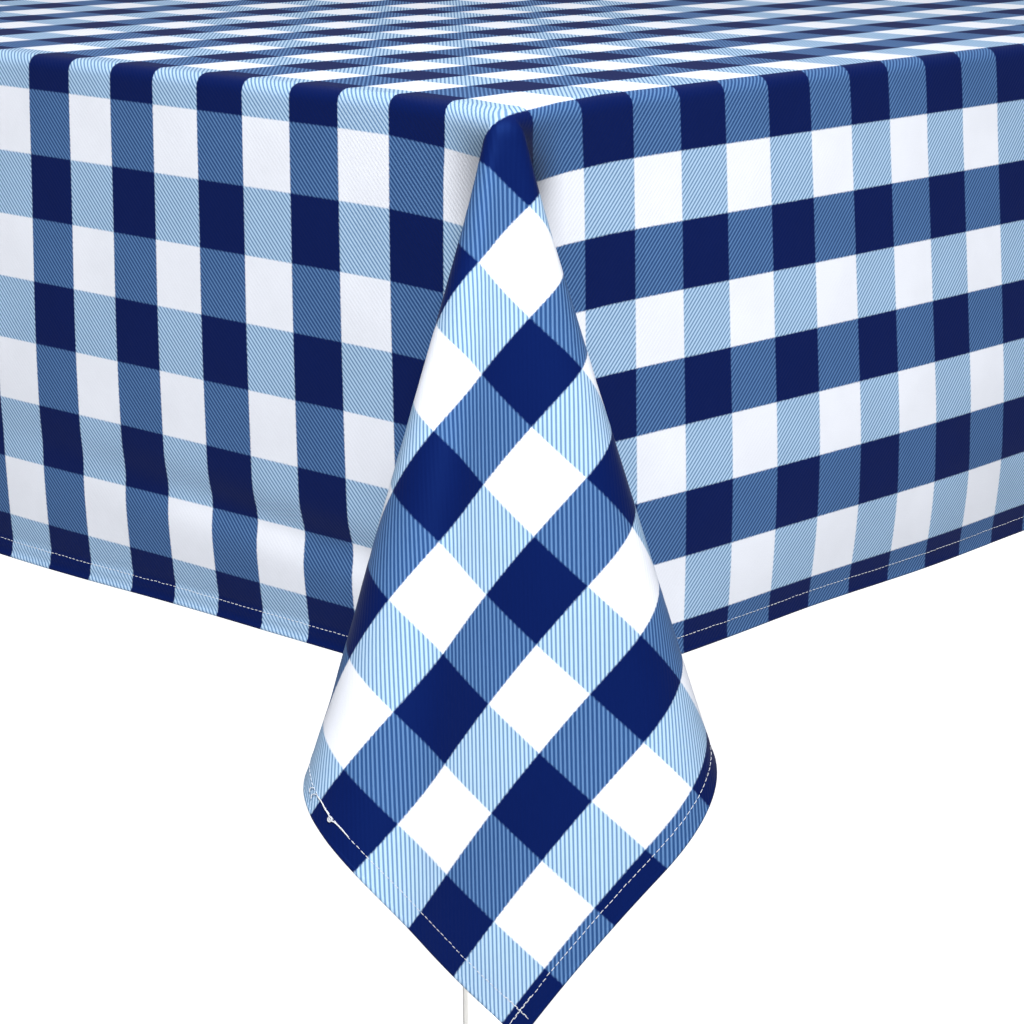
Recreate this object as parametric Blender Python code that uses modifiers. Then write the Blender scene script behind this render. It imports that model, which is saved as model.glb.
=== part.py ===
"""A square table with a draped cloth: wooden table on levelling feet, and a one-piece cloth shown in plain panels.

World frame: metres, +Z up, floor at Z = 0, origin under the middle of the table.
The pieces of one corner are modelled at the front left corner, and those of one side at the front side.
Each is then repeated by an empty turned in quarter turns about the table's centre line.
"""

import math

import bmesh
import bpy
import numpy as np
from mathutils import Matrix, Vector

# Table
TABLE_SIDE = 0.860
TABLE_HEIGHT = 0.750
TOP_THICKNESS = 0.022
TOP_EDGE_RADIUS = 0.006
TOP_CORNER_RADIUS = 0.012
LEG_INSET = 0.020
LEG_BLOCK = 0.042
LEG_BLOCK_HEIGHT = 0.090
LEG_ROUND_TOP_RADIUS = 0.0175
LEG_ROUND_FOOT_RADIUS = 0.0120
APRON_HEIGHT = 0.072
APRON_THICKNESS = 0.018
APRON_SETBACK = 0.004

# Corner joint: a mitred block, a hanger bolt and its nut
BLOCK_THICKNESS = 0.020
BLOCK_HEIGHT = 0.050
BOLT_RADIUS = 0.004
BOLT_IN_LEG = 0.026
BOLT_PAST_BLOCK = 0.020
NUT_RADIUS = 0.0075
NUT_THICKNESS = 0.0065

# Brackets that hold the top to the aprons
BRACKET_WIDTH = 0.022
BRACKET_ARM = 0.026
BRACKET_THICKNESS = 0.002
SCREW_RADIUS = 0.002
SCREW_LENGTH = 0.012
SCREW_HEAD_RADIUS = 0.0042
SCREW_HEAD_HEIGHT = 0.0024

# Levelling feet
FOOT_RADIUS = 0.0135
FOOT_PAD_HEIGHT = 0.008
FOOT_STEM_RADIUS = 0.003
FOOT_STEM_LENGTH = 0.024
INSERT_RADIUS = 0.0055
INSERT_LENGTH = 0.014

# Cloth
CLOTH_SIDE = 1.372
CLOTH_THICKNESS = 0.0012
FOLD_TURN = 1.57
FOLD_HALF_WIDTH = 0.358
FOLD_START = 0.030
FOLD_SLIT = 0.055
FOLD_COLUMNS = 24
FOLD_ROWS = 5
THREAD_RADIUS = 0.0004
THREAD_ABOVE_EDGE = 0.008

# Fits
FACE_GAP = 0.0003
HOLE_CLEARANCE = 0.0004
BLIND_CLEARANCE = 0.001
SOFT_GAP = 0.001
CUT_OVERSHOOT = 0.002

# Worked out from the sizes above
HALF = TABLE_SIDE / 2
TOP_UNDERSIDE = TABLE_HEIGHT - TOP_THICKNESS
FRAME_TOP = TOP_UNDERSIDE - FACE_GAP
LEG_CENTRE = HALF - LEG_INSET - LEG_BLOCK / 2
LEG_INNER = HALF - LEG_INSET - LEG_BLOCK
LEG_BOTTOM = FOOT_PAD_HEIGHT + FACE_GAP
APRON_OUTER = HALF - LEG_INSET - APRON_SETBACK
APRON_INNER = APRON_OUTER - APRON_THICKNESS
APRON_LENGTH = 2 * (LEG_INNER - FACE_GAP)
APRON_MIDDLE = FRAME_TOP - APRON_HEIGHT / 2
BLOCK_OUTER = math.sqrt(2) * LEG_INNER - SOFT_GAP
BLOCK_INNER = BLOCK_OUTER - BLOCK_THICKNESS
BOLT_START = BLOCK_INNER - BOLT_PAST_BLOCK
BOLT_END = math.sqrt(2) * LEG_INNER + BOLT_IN_LEG
CLOTH_UNDERSIDE = TABLE_HEIGHT + FACE_GAP
CLOTH_INNER = HALF + FACE_GAP
CLOTH_OUTER = CLOTH_INNER + CLOTH_THICKNESS
CLOTH_DROP = CLOTH_SIDE / 2 - CLOTH_OUTER

SIDES = ("front", "right", "back", "left")
CORNERS = ("front_left", "front_right", "back_right", "back_left")


def start_scene():
    for obj in list(bpy.data.objects):
        bpy.data.objects.remove(obj)
    part = bpy.data.collections.new("cloth_covered_table")
    cutters = bpy.data.collections.new("cutters")
    cutters.hide_render = True
    for collection in (part, cutters):
        bpy.context.scene.collection.children.link(collection)
    return part, cutters


def material(name, colour, roughness, metallic=0.0):
    made = bpy.data.materials.new(name)
    made.use_nodes = True
    shader = made.node_tree.nodes["Principled BSDF"]
    shader.inputs["Base Color"].default_value = (*colour, 1)
    shader.inputs["Roughness"].default_value = roughness
    shader.inputs["Metallic"].default_value = metallic
    return made


def add_mesh(name, build, collection):
    """A new object whose mesh is what build makes in an empty bmesh."""
    shape = bmesh.new()
    build(shape)
    bmesh.ops.recalc_face_normals(shape, faces=shape.faces)
    mesh = bpy.data.meshes.new(name)
    shape.to_mesh(mesh)
    shape.free()
    obj = bpy.data.objects.new(name, mesh)
    collection.objects.link(obj)
    return obj


def add_box(name, low, high, collection):
    size = Vector(high) - Vector(low)
    middle = (Vector(high) + Vector(low)) / 2
    place = Matrix.Translation(middle) @ Matrix.Diagonal((*size, 1))
    return add_mesh(name, lambda shape: bmesh.ops.create_cube(shape, size=1, matrix=place), collection)


def add_rod(name, start, end, radius, collection, sides=20):
    """A closed cylinder from start to end."""
    start, end = Vector(start), Vector(end)
    turn = (end - start).to_track_quat("Z", "Y").to_matrix().to_4x4()
    place = Matrix.Translation((start + end) / 2) @ turn

    def build(shape):
        bmesh.ops.create_cone(
            shape, cap_ends=True, segments=sides, radius1=radius, radius2=radius,
            depth=(end - start).length, matrix=place,
        )

    return add_mesh(name, build, collection)


def add_turned(name, profile, collection, steps=24):
    """A solid of revolution about Z: profile lists (radius, height) down its outer side, from axis to axis."""
    mesh = bpy.data.meshes.new(name)
    points = [(radius, 0, height) for radius, height in profile]
    mesh.from_pydata(points, [(k, k + 1) for k in range(len(points) - 1)], [])
    obj = bpy.data.objects.new(name, mesh)
    collection.objects.link(obj)
    screw = obj.modifiers.new("turn", "SCREW")
    screw.steps = steps
    screw.render_steps = steps
    screw.use_merge_vertices = True
    screw.merge_threshold = 0.0001
    return obj


def add_outline(name, points, height, collection):
    """A flat outline in XY, given as points, extruded to this height about Z = 0."""
    curve = bpy.data.curves.new(name, "CURVE")
    curve.dimensions = "2D"
    curve.fill_mode = "BOTH"
    curve.extrude = height / 2
    spline = curve.splines.new("POLY")
    spline.points.add(len(points) - 1)
    for knot, (x, y) in zip(spline.points, points):
        knot.co = (x, y, 0, 1)
    spline.use_cyclic_u = True
    obj = bpy.data.objects.new(name, curve)
    collection.objects.link(obj)
    return to_mesh_object(obj, collection)


def to_mesh_object(obj, collection):
    """The same object as a mesh with its modifiers applied and its loose caps welded."""
    graph = bpy.context.evaluated_depsgraph_get()
    mesh = bpy.data.meshes.new_from_object(obj.evaluated_get(graph))
    shape = bmesh.new()
    shape.from_mesh(mesh)
    bmesh.ops.remove_doubles(shape, verts=shape.verts, dist=0.00001)
    bmesh.ops.recalc_face_normals(shape, faces=shape.faces)
    shape.to_mesh(mesh)
    shape.free()
    name, place = obj.name, obj.matrix_world.copy()
    bpy.data.objects.remove(obj)
    made = bpy.data.objects.new(name, mesh)
    made.matrix_world = place
    collection.objects.link(made)
    return made


def bevel(obj, width, segments=2, angle=40):
    edge = obj.modifiers.new("bevel", "BEVEL")
    edge.width = width
    edge.segments = segments
    edge.limit_method = "ANGLE"
    edge.angle_limit = math.radians(angle)


def boolean(obj, other, operation="DIFFERENCE"):
    cut = obj.modifiers.new(operation.lower(), "BOOLEAN")
    cut.operation = operation
    cut.solver = "EXACT"
    cut.object = other
    other.display_type = "WIRE"
    other.hide_render = True


def on_diagonal(distance, height):
    """The point at this distance from the centre line, towards the front left corner."""
    return (-distance / math.sqrt(2), -distance / math.sqrt(2), height)


def repeat(obj, names, paint, part):
    """One node for each name: the same mesh, turned in quarter turns about the centre line by its parent empty."""
    obj = to_mesh_object(obj, part)
    stem = obj.name
    obj.data.materials.clear()
    obj.data.materials.append(paint)
    mesh = obj.data
    place = obj.matrix_world.copy()
    bpy.data.objects.remove(obj)
    for quarter, name in enumerate(names):
        copy = bpy.data.objects.new(f"{stem}_{name}", mesh)
        copy.matrix_local = place
        copy.parent = turntable(quarter, part)
        part.objects.link(copy)


def turntable(quarter, part):
    name = f"quarter_{quarter}"
    found = bpy.data.objects.get(name)
    if found is None:
        found = bpy.data.objects.new(name, None)
        found.rotation_euler.z = quarter * math.pi / 2
        part.objects.link(found)
    return found


def make_table_top(paint, part, cutters):
    low, high = (-HALF, -HALF, TOP_UNDERSIDE), (HALF, HALF, TABLE_HEIGHT)
    top = add_box("table_top", low, high, part)
    corner = top.modifiers.new("corners", "BEVEL")
    corner.affect = "EDGES"
    corner.width = TOP_CORNER_RADIUS
    corner.segments = 4
    corner.limit_method = "WEIGHT"
    weight = top.data.attributes.new("bevel_weight_edge", "FLOAT", "EDGE")
    for edge in top.data.edges:
        ends = [top.data.vertices[k].co for k in edge.vertices]
        weight.data[edge.index].value = float(abs(ends[0].z - ends[1].z) > TOP_THICKNESS / 2)
    bevel(top, TOP_EDGE_RADIUS, segments=3, angle=60)
    for quarter in range(4):
        turn = Matrix.Rotation(quarter * math.pi / 2, 4, "Z")
        hole = top_screw_hole(f"top_screw_hole_{quarter}", cutters)
        hole.data.transform(turn)
        boolean(top, hole)
    top.data.materials.append(paint)


def top_screw_hole(name, cutters):
    x, y = 0, bracket_screw_reach()
    deep = TOP_UNDERSIDE + screw_bite() + BLIND_CLEARANCE
    start = (x, y, TOP_UNDERSIDE - CUT_OVERSHOOT)
    return add_rod(name, start, (x, y, deep), SCREW_RADIUS + HOLE_CLEARANCE, cutters)


def screw_bite():
    """How far a screw goes into the wood behind its bracket."""
    return SCREW_LENGTH - BRACKET_THICKNESS - FACE_GAP


def bracket_screw_reach():
    """Y of the screw that goes up into the top, on the front side."""
    return -APRON_INNER + FACE_GAP + BRACKET_ARM / 2 + BRACKET_THICKNESS


def bracket_screw_height():
    """Height of the screw that goes into the apron."""
    return TOP_UNDERSIDE - FACE_GAP - BRACKET_ARM / 2 - BRACKET_THICKNESS


def make_aprons(paint, part, cutters):
    low = (-APRON_LENGTH / 2, -APRON_OUTER, FRAME_TOP - APRON_HEIGHT)
    high = (APRON_LENGTH / 2, -APRON_INNER, FRAME_TOP)
    apron = add_box("apron", low, high, part)
    bevel(apron, 0.0012, segments=1)
    height = bracket_screw_height()
    start = (0, -APRON_INNER + CUT_OVERSHOOT, height)
    end = (0, -APRON_INNER - screw_bite() - BLIND_CLEARANCE, height)
    boolean(apron, add_rod("apron_screw_hole", start, end, SCREW_RADIUS + HOLE_CLEARANCE, cutters))
    repeat(apron, SIDES, paint, part)


def leg_profile():
    """Round part of the leg, from its neck inside the square block down to the foot."""
    neck = FRAME_TOP - LEG_BLOCK_HEIGHT
    swell = LEG_ROUND_TOP_RADIUS
    foot = LEG_ROUND_FOOT_RADIUS
    return [
        (0, neck + 0.010),
        (swell - 0.003, neck + 0.010),
        (swell - 0.003, neck - 0.006),
        (swell, neck - 0.012),
        (swell - 0.0005, neck - 0.070),
        (foot + 0.0015, LEG_BOTTOM + 0.060),
        (foot, LEG_BOTTOM + 0.002),
        (foot - 0.0015, LEG_BOTTOM),
        (0, LEG_BOTTOM),
    ]


def make_legs(paint, part, cutters):
    reach = LEG_BLOCK / 2
    low = (-LEG_CENTRE - reach, -LEG_CENTRE - reach, FRAME_TOP - LEG_BLOCK_HEIGHT)
    high = (-LEG_CENTRE + reach, -LEG_CENTRE + reach, FRAME_TOP)
    leg = add_box("leg", low, high, part)
    bevel(leg, 0.0015, segments=1)
    shank = add_turned("leg_shank", leg_profile(), cutters)
    shank.location = (-LEG_CENTRE, -LEG_CENTRE, 0)
    boolean(leg, shank, "UNION")
    start = on_diagonal(BLOCK_OUTER, APRON_MIDDLE)
    end = on_diagonal(BOLT_END + BLIND_CLEARANCE, APRON_MIDDLE)
    boolean(leg, add_rod("leg_bolt_hole", start, end, BOLT_RADIUS + HOLE_CLEARANCE, cutters))
    start = (-LEG_CENTRE, -LEG_CENTRE, LEG_BOTTOM - CUT_OVERSHOOT)
    wide = (-LEG_CENTRE, -LEG_CENTRE, LEG_BOTTOM + INSERT_LENGTH + FACE_GAP)
    deep = (-LEG_CENTRE, -LEG_CENTRE, LEG_BOTTOM + FOOT_STEM_LENGTH + BLIND_CLEARANCE)
    boolean(leg, add_rod("leg_insert_hole", start, wide, INSERT_RADIUS + HOLE_CLEARANCE, cutters))
    boolean(leg, add_rod("leg_stem_hole", start, deep, FOOT_STEM_RADIUS + HOLE_CLEARANCE, cutters))
    repeat(leg, CORNERS, paint, part)


def make_corner_blocks(paint, part, cutters):
    inside = APRON_INNER - FACE_GAP
    outer = math.sqrt(2) * BLOCK_OUTER
    inner = math.sqrt(2) * BLOCK_INNER
    outline = [
        (-inside, -(outer - inside)), (-(outer - inside), -inside),
        (-(inner - inside), -inside), (-inside, -(inner - inside)),
    ]
    block = add_outline("corner_block", outline, BLOCK_HEIGHT, part)
    block.location.z = APRON_MIDDLE
    start = on_diagonal(BLOCK_INNER - CUT_OVERSHOOT, APRON_MIDDLE)
    end = on_diagonal(BLOCK_OUTER + CUT_OVERSHOOT, APRON_MIDDLE)
    boolean(block, add_rod("block_bolt_hole", start, end, BOLT_RADIUS + HOLE_CLEARANCE, cutters))
    repeat(block, CORNERS, paint, part)


def make_bolts(paint, part):
    start = on_diagonal(BOLT_START, APRON_MIDDLE)
    end = on_diagonal(BOLT_END, APRON_MIDDLE)
    bolt = add_rod("hanger_bolt", start, end, BOLT_RADIUS, part, sides=16)
    bevel(bolt, 0.0008, segments=1, angle=60)
    repeat(bolt, CORNERS, paint, part)


def make_nuts(paint, part, cutters):
    face = BLOCK_INNER - FACE_GAP
    start = on_diagonal(face - NUT_THICKNESS, APRON_MIDDLE)
    nut = add_rod("hanger_nut", start, on_diagonal(face, APRON_MIDDLE), NUT_RADIUS, part, sides=6)
    bevel(nut, 0.0006, segments=1, angle=60)
    start = on_diagonal(face - NUT_THICKNESS - CUT_OVERSHOOT, APRON_MIDDLE)
    end = on_diagonal(face + CUT_OVERSHOOT, APRON_MIDDLE)
    boolean(nut, add_rod("nut_hole", start, end, BOLT_RADIUS + HOLE_CLEARANCE, cutters, sides=16))
    repeat(nut, CORNERS, paint, part)


def make_brackets(paint, part, cutters):
    """Angle brackets: one arm under the top and one on the inner face of the apron."""
    arm, sheet = BRACKET_ARM, BRACKET_THICKNESS
    outline = [(0, 0), (arm, 0), (arm, -sheet), (sheet, -sheet), (sheet, -arm), (0, -arm)]
    bracket = add_outline("top_bracket", outline, BRACKET_WIDTH, part)
    place = Vector((0, -APRON_INNER + FACE_GAP, TOP_UNDERSIDE - FACE_GAP))
    stand = Matrix(((0, 0, 1, 0), (1, 0, 0, 0), (0, 1, 0, 0), (0, 0, 0, 1)))
    bracket.data.transform(Matrix.Translation(place) @ stand)
    reach, height = bracket_screw_reach(), bracket_screw_height()
    radius = SCREW_RADIUS + HOLE_CLEARANCE
    over = CUT_OVERSHOOT
    up = ((0, reach, place.z - sheet - over), (0, reach, place.z + over))
    across = ((0, place.y - over, height), (0, place.y + sheet + over, height))
    boolean(bracket, add_rod("bracket_top_hole", *up, radius, cutters, sides=16))
    boolean(bracket, add_rod("bracket_side_hole", *across, radius, cutters, sides=16))
    repeat(bracket, SIDES, paint, part)


def screw_profile():
    head = SCREW_HEAD_RADIUS
    return [
        (0, SCREW_HEAD_HEIGHT),
        (head * 0.7, SCREW_HEAD_HEIGHT),
        (head, SCREW_HEAD_HEIGHT * 0.35),
        (head, 0),
        (SCREW_RADIUS, 0),
        (SCREW_RADIUS, -SCREW_LENGTH + 0.003),
        (0, -SCREW_LENGTH),
    ]


def make_screws(paint, part):
    """Two screws for each bracket: one up into the top, one out into the apron."""
    lift = BRACKET_THICKNESS + FACE_GAP
    up = add_turned("top_screw", screw_profile(), part, steps=16)
    up.matrix_world = Matrix.Translation(
        (0, bracket_screw_reach(), TOP_UNDERSIDE - FACE_GAP - lift)
    ) @ Matrix.Rotation(math.pi, 4, "X")
    repeat(up, SIDES, paint, part)
    out = add_turned("apron_screw", screw_profile(), part, steps=16)
    out.matrix_world = Matrix.Translation(
        (0, -APRON_INNER + FACE_GAP + lift, bracket_screw_height())
    ) @ Matrix.Rotation(-math.pi / 2, 4, "X")
    repeat(out, SIDES, paint, part)


def make_inserts(paint, part, cutters):
    bottom = LEG_BOTTOM + FACE_GAP
    start, end = (-LEG_CENTRE, -LEG_CENTRE, bottom), (-LEG_CENTRE, -LEG_CENTRE, LEG_BOTTOM + INSERT_LENGTH)
    insert = add_rod("leg_insert", start, end, INSERT_RADIUS, part)
    over = Vector((0, 0, CUT_OVERSHOOT))
    bore = FOOT_STEM_RADIUS + HOLE_CLEARANCE
    boolean(insert, add_rod("insert_bore", Vector(start) - over, Vector(end) + over, bore, cutters))
    repeat(insert, CORNERS, paint, part)


def make_feet(paint, part):
    """Levelling feet: a pad and a threaded stem, with the origin on the stem's axis."""
    pad, stem = FOOT_PAD_HEIGHT, FOOT_STEM_RADIUS
    profile = [
        (0, pad + FOOT_STEM_LENGTH),
        (stem - 0.0008, pad + FOOT_STEM_LENGTH),
        (stem, pad + FOOT_STEM_LENGTH - 0.001),
        (stem, pad),
        (FOOT_RADIUS - 0.003, pad),
        (FOOT_RADIUS, pad - 0.003),
        (FOOT_RADIUS, 0.001),
        (FOOT_RADIUS - 0.001, 0),
        (0, 0),
    ]
    foot = add_turned("levelling_foot", profile, part)
    foot.location = (-LEG_CENTRE, -LEG_CENTRE, 0)
    repeat(foot, CORNERS, paint, part)


def make_cloth_top(paint, part):
    low = (-CLOTH_OUTER, -CLOTH_OUTER, CLOTH_UNDERSIDE)
    high = (CLOTH_OUTER, CLOTH_OUTER, CLOTH_UNDERSIDE + CLOTH_THICKNESS)
    top = add_box("cloth_top", low, high, part)
    top.data.materials.append(paint)


def make_cloth_drops(paint, part):
    low = (-HALF, -CLOTH_OUTER, TABLE_HEIGHT - CLOTH_DROP)
    high = (HALF, -CLOTH_INNER, CLOTH_UNDERSIDE - FACE_GAP)
    repeat(add_box("cloth_drop", low, high, part), SIDES, paint, part)


def make_threads(paint, part):
    """The line of sewing that holds the hem, on the outer face of each drop."""
    y = -CLOTH_OUTER - FACE_GAP - THREAD_RADIUS
    z = TABLE_HEIGHT - CLOTH_DROP + THREAD_ABOVE_EDGE
    thread = add_rod("hem_thread", (-HALF, y, z), (HALF, y, z), THREAD_RADIUS, part, sides=8)
    repeat(thread, SIDES, paint, part)


def fold_direction(turn):
    """Unit vectors from the table's corner down the hanging fold.

    A sheet bent at one point is a cone. Its rulings here follow an ellipse that starts and ends straight
    down, so the ellipse's length on the unit sphere is the quarter turn of cloth that the corner has spare.
    """
    wide = FOLD_HALF_WIDTH
    deep = fold_half_depth()
    side = -wide * np.sin(turn)
    out = deep * (1 - np.cos(turn))
    down = np.sqrt(1 - side**2 - out**2)
    return np.stack([(side - out) / math.sqrt(2), (-side - out) / math.sqrt(2), -down], axis=-1)


def fold_half_depth():
    """Half depth of the ellipse whose rim has the fold's turn, by Ramanujan's rim formula solved in steps."""
    wide, deep = FOLD_HALF_WIDTH, FOLD_HALF_WIDTH / 3
    for _ in range(40):
        rim = math.pi * (3 * (wide + deep) - math.sqrt((3 * wide + deep) * (wide + 3 * deep)))
        deep += (FOLD_TURN - rim) / 6
    return deep


def make_cloth_corners(paint, part):
    """The corner's spare cloth, hanging as a hollow cone that runs from the table's corner to the cloth's tip."""
    turns = np.linspace(FOLD_SLIT * 2 * math.pi, (1 - FOLD_SLIT) * 2 * math.pi, FOLD_COLUMNS + 1)
    spread = np.linspace(FOLD_SLIT, 1 - FOLD_SLIT, FOLD_COLUMNS + 1) * math.pi / 2
    longest = CLOTH_DROP / np.maximum(np.cos(spread), np.sin(spread))
    share = np.linspace(0, 1, FOLD_ROWS + 1)[:, None]
    radius = FOLD_START + share * (longest - FOLD_START)[None, :]
    apex = np.array([-CLOTH_OUTER - SOFT_GAP, -CLOTH_OUTER - SOFT_GAP, TABLE_HEIGHT])
    points = apex + radius[..., None] * fold_direction(turns)[None, :, :]
    columns = FOLD_COLUMNS + 1
    faces = [
        (row * columns + k, row * columns + k + 1, (row + 1) * columns + k + 1, (row + 1) * columns + k)
        for row in range(FOLD_ROWS)
        for k in range(FOLD_COLUMNS)
    ]
    mesh = bpy.data.meshes.new("cloth_corner")
    mesh.from_pydata(points.reshape(-1, 3).tolist(), [], faces)
    fold = bpy.data.objects.new("cloth_corner", mesh)
    part.objects.link(fold)
    wall = fold.modifiers.new("wall", "SOLIDIFY")
    wall.thickness = CLOTH_THICKNESS
    wall.offset = 0
    repeat(fold, CORNERS, paint, part)


def main():
    part, cutters = start_scene()
    white_paint = material("white_paint", (0.86, 0.86, 0.84), 0.4)
    beech = material("beech", (0.62, 0.43, 0.25), 0.55)
    zinc = material("zinc_steel", (0.62, 0.63, 0.65), 0.35, 1.0)
    brass = material("brass", (0.78, 0.60, 0.28), 0.3, 1.0)
    grey_plastic = material("grey_plastic", (0.55, 0.55, 0.54), 0.5)
    check_cloth = material("check_cloth", (0.05, 0.09, 0.45), 0.8)
    white_thread = material("white_thread", (0.85, 0.84, 0.80), 0.7)

    make_table_top(white_paint, part, cutters)
    make_aprons(white_paint, part, cutters)
    make_legs(white_paint, part, cutters)
    make_corner_blocks(beech, part, cutters)
    make_bolts(zinc, part)
    make_nuts(zinc, part, cutters)
    make_brackets(zinc, part, cutters)
    make_screws(zinc, part)
    make_inserts(brass, part, cutters)
    make_feet(grey_plastic, part)
    make_cloth_top(check_cloth, part)
    make_cloth_drops(check_cloth, part)
    make_cloth_corners(check_cloth, part)
    make_threads(white_thread, part)


main()
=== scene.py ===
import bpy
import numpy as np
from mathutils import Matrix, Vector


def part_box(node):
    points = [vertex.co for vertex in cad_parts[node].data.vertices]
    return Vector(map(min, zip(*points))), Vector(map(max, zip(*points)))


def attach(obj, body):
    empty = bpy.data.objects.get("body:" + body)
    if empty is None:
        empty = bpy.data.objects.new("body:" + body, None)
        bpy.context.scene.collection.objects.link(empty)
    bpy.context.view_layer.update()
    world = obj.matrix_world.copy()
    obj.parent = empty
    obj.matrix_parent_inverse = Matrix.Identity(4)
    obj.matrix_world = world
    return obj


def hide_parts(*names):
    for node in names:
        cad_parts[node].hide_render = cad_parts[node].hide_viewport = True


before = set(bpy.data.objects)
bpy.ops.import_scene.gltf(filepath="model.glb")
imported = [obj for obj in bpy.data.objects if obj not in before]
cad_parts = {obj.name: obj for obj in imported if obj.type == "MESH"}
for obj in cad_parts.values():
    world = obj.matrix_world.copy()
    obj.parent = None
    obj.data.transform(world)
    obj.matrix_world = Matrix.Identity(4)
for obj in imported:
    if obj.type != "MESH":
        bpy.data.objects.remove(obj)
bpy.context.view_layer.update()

# %% [markdown]
# # A checked tablecloth on a square table
# One large square of checked cotton-look twill lies over a small square table. Its four
# sides hang straight down, and each corner hangs lower, gathered into a fold. The table
# under it is already in the frame, so this lesson makes the cloth, its hems and its
# stitching, and gives every carried-over part a finish of its own.

# %% [markdown]
# ## The sizes that everything follows
# The cloth's outer face lies a little way out from the table's edge, and its upper face a
# little above the top. Both come from the CAD panels, so the cloth fits whatever table is
# packed.

# %% Sizes
TOP_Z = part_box("cloth_top")[1].z
EDGE = -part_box("cloth_drop_left")[0].x
CLOTH_SIDE = 1.372
CHECK = 0.0303
CHECK_LONG = 0.03105
SHIFT_A = 0.0008
SHIFT_B = 0.0020
PATTERN_U = -1.5625
PATTERN_V = -1.1824
LOW_A, HIGH_A = -CLOTH_SIDE / 2 + SHIFT_A, CLOTH_SIDE / 2 + SHIFT_A
LOW_B, HIGH_B = -CLOTH_SIDE / 2 + SHIFT_B, CLOTH_SIDE / 2 + SHIFT_B
CORNER = Vector((-EDGE, -EDGE, TOP_Z))
print(f"upper face at {TOP_Z:.4f} m, outer faces at {EDGE:.4f} m")
print(f"drop {-LOW_A - EDGE:.4f} m on the left and {-LOW_B - EDGE:.4f} m at the front")

# %% [markdown]
# ## The camera
# A product view of a tablecloth looks straight at one corner from a little above the
# table, with a long lens, so that both sides fall away evenly. The camera could be aimed
# with a constraint, but a rotation built from three directions is exact and plain: where
# it looks, which way is right, and which way is up.

# %% Camera
CAMERA_DISTANCE = 34.76 * CHECK
CAMERA_HEIGHT = 4.03 * CHECK
CAMERA_AROUND = np.radians(42.71)
CAMERA_LOOK = np.radians(42.51)
CAMERA_PITCH = np.radians(15.36)
CAMERA_ROLL = np.radians(-0.28)
LENS = 92.3

forward = Vector((
    np.cos(CAMERA_LOOK) * np.cos(CAMERA_PITCH),
    np.sin(CAMERA_LOOK) * np.cos(CAMERA_PITCH),
    -np.sin(CAMERA_PITCH),
))
level = Vector((np.sin(CAMERA_LOOK), -np.cos(CAMERA_LOOK), 0.0))
up = level.cross(forward)
right = level * np.cos(CAMERA_ROLL) - up * np.sin(CAMERA_ROLL)
up = level * np.sin(CAMERA_ROLL) + up * np.cos(CAMERA_ROLL)
turn = Matrix((right, up, -forward)).transposed().to_4x4()
place = CORNER + Vector((
    -CAMERA_DISTANCE * np.cos(CAMERA_AROUND),
    -CAMERA_DISTANCE * np.sin(CAMERA_AROUND),
    CAMERA_HEIGHT,
))
camera = bpy.data.objects.new("camera", bpy.data.cameras.new("camera"))
camera.data.lens = LENS
camera.data.clip_start = 0.01
camera.matrix_world = Matrix.Translation(place) @ turn
scene = bpy.context.scene
scene.collection.objects.link(camera)
scene.camera = camera
print("camera at", tuple(round(x, 3) for x in place))

# %% [markdown]
# ## The fold at a corner
# Where two sides meet there is too much cloth: a quarter of a disc hangs from a point. It
# can't lie flat, so it rolls into a cone. Every straight line from the corner stays
# straight, which makes the cone developable: it is fixed by one curve on a sphere of
# directions, as long as the quarter turn of cloth that it takes up. That curve goes out
# to one side, across the front, back behind itself and home, like the letter omega.
# It could be drawn by hand with a spline, but a spline has no fixed length. Here it is a
# walk with a heading, as a tortoise draws: straight, turn, straight, turn. Three of the
# straight parts are solved so that the walk ends where it has to, at the right length.

# %% The walk round a fold
NECK = 0.05
TIGHT_TURN = 0.035
STEPS = 240
STRETCH_ROUNDS = 12
SOLVE_ROUNDS = 10
NUDGE = 1e-4


def walk_of(headings, radii, straights):
    """The walk's parts, each as its first heading, its last heading and its length. Straight parts keep their
    heading, and turns change it evenly over a length of radius times angle."""
    start, left, front, front_end, back, end = headings
    left_radius, right_radius = radii
    parts = [
        (start, start, NECK * 0.4),
        (start, left, TIGHT_TURN * abs(left - start)),
        (left, left, straights[0]),
        (left, front, left_radius * abs(left - front)),
        (front, front_end, straights[1]),
        (front_end, back, right_radius * abs(front_end - back)),
        (back, back, straights[2]),
        (back, end, TIGHT_TURN * abs(back - end)),
        (end, end, NECK * 0.4),
    ]
    return np.array(parts)


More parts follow.
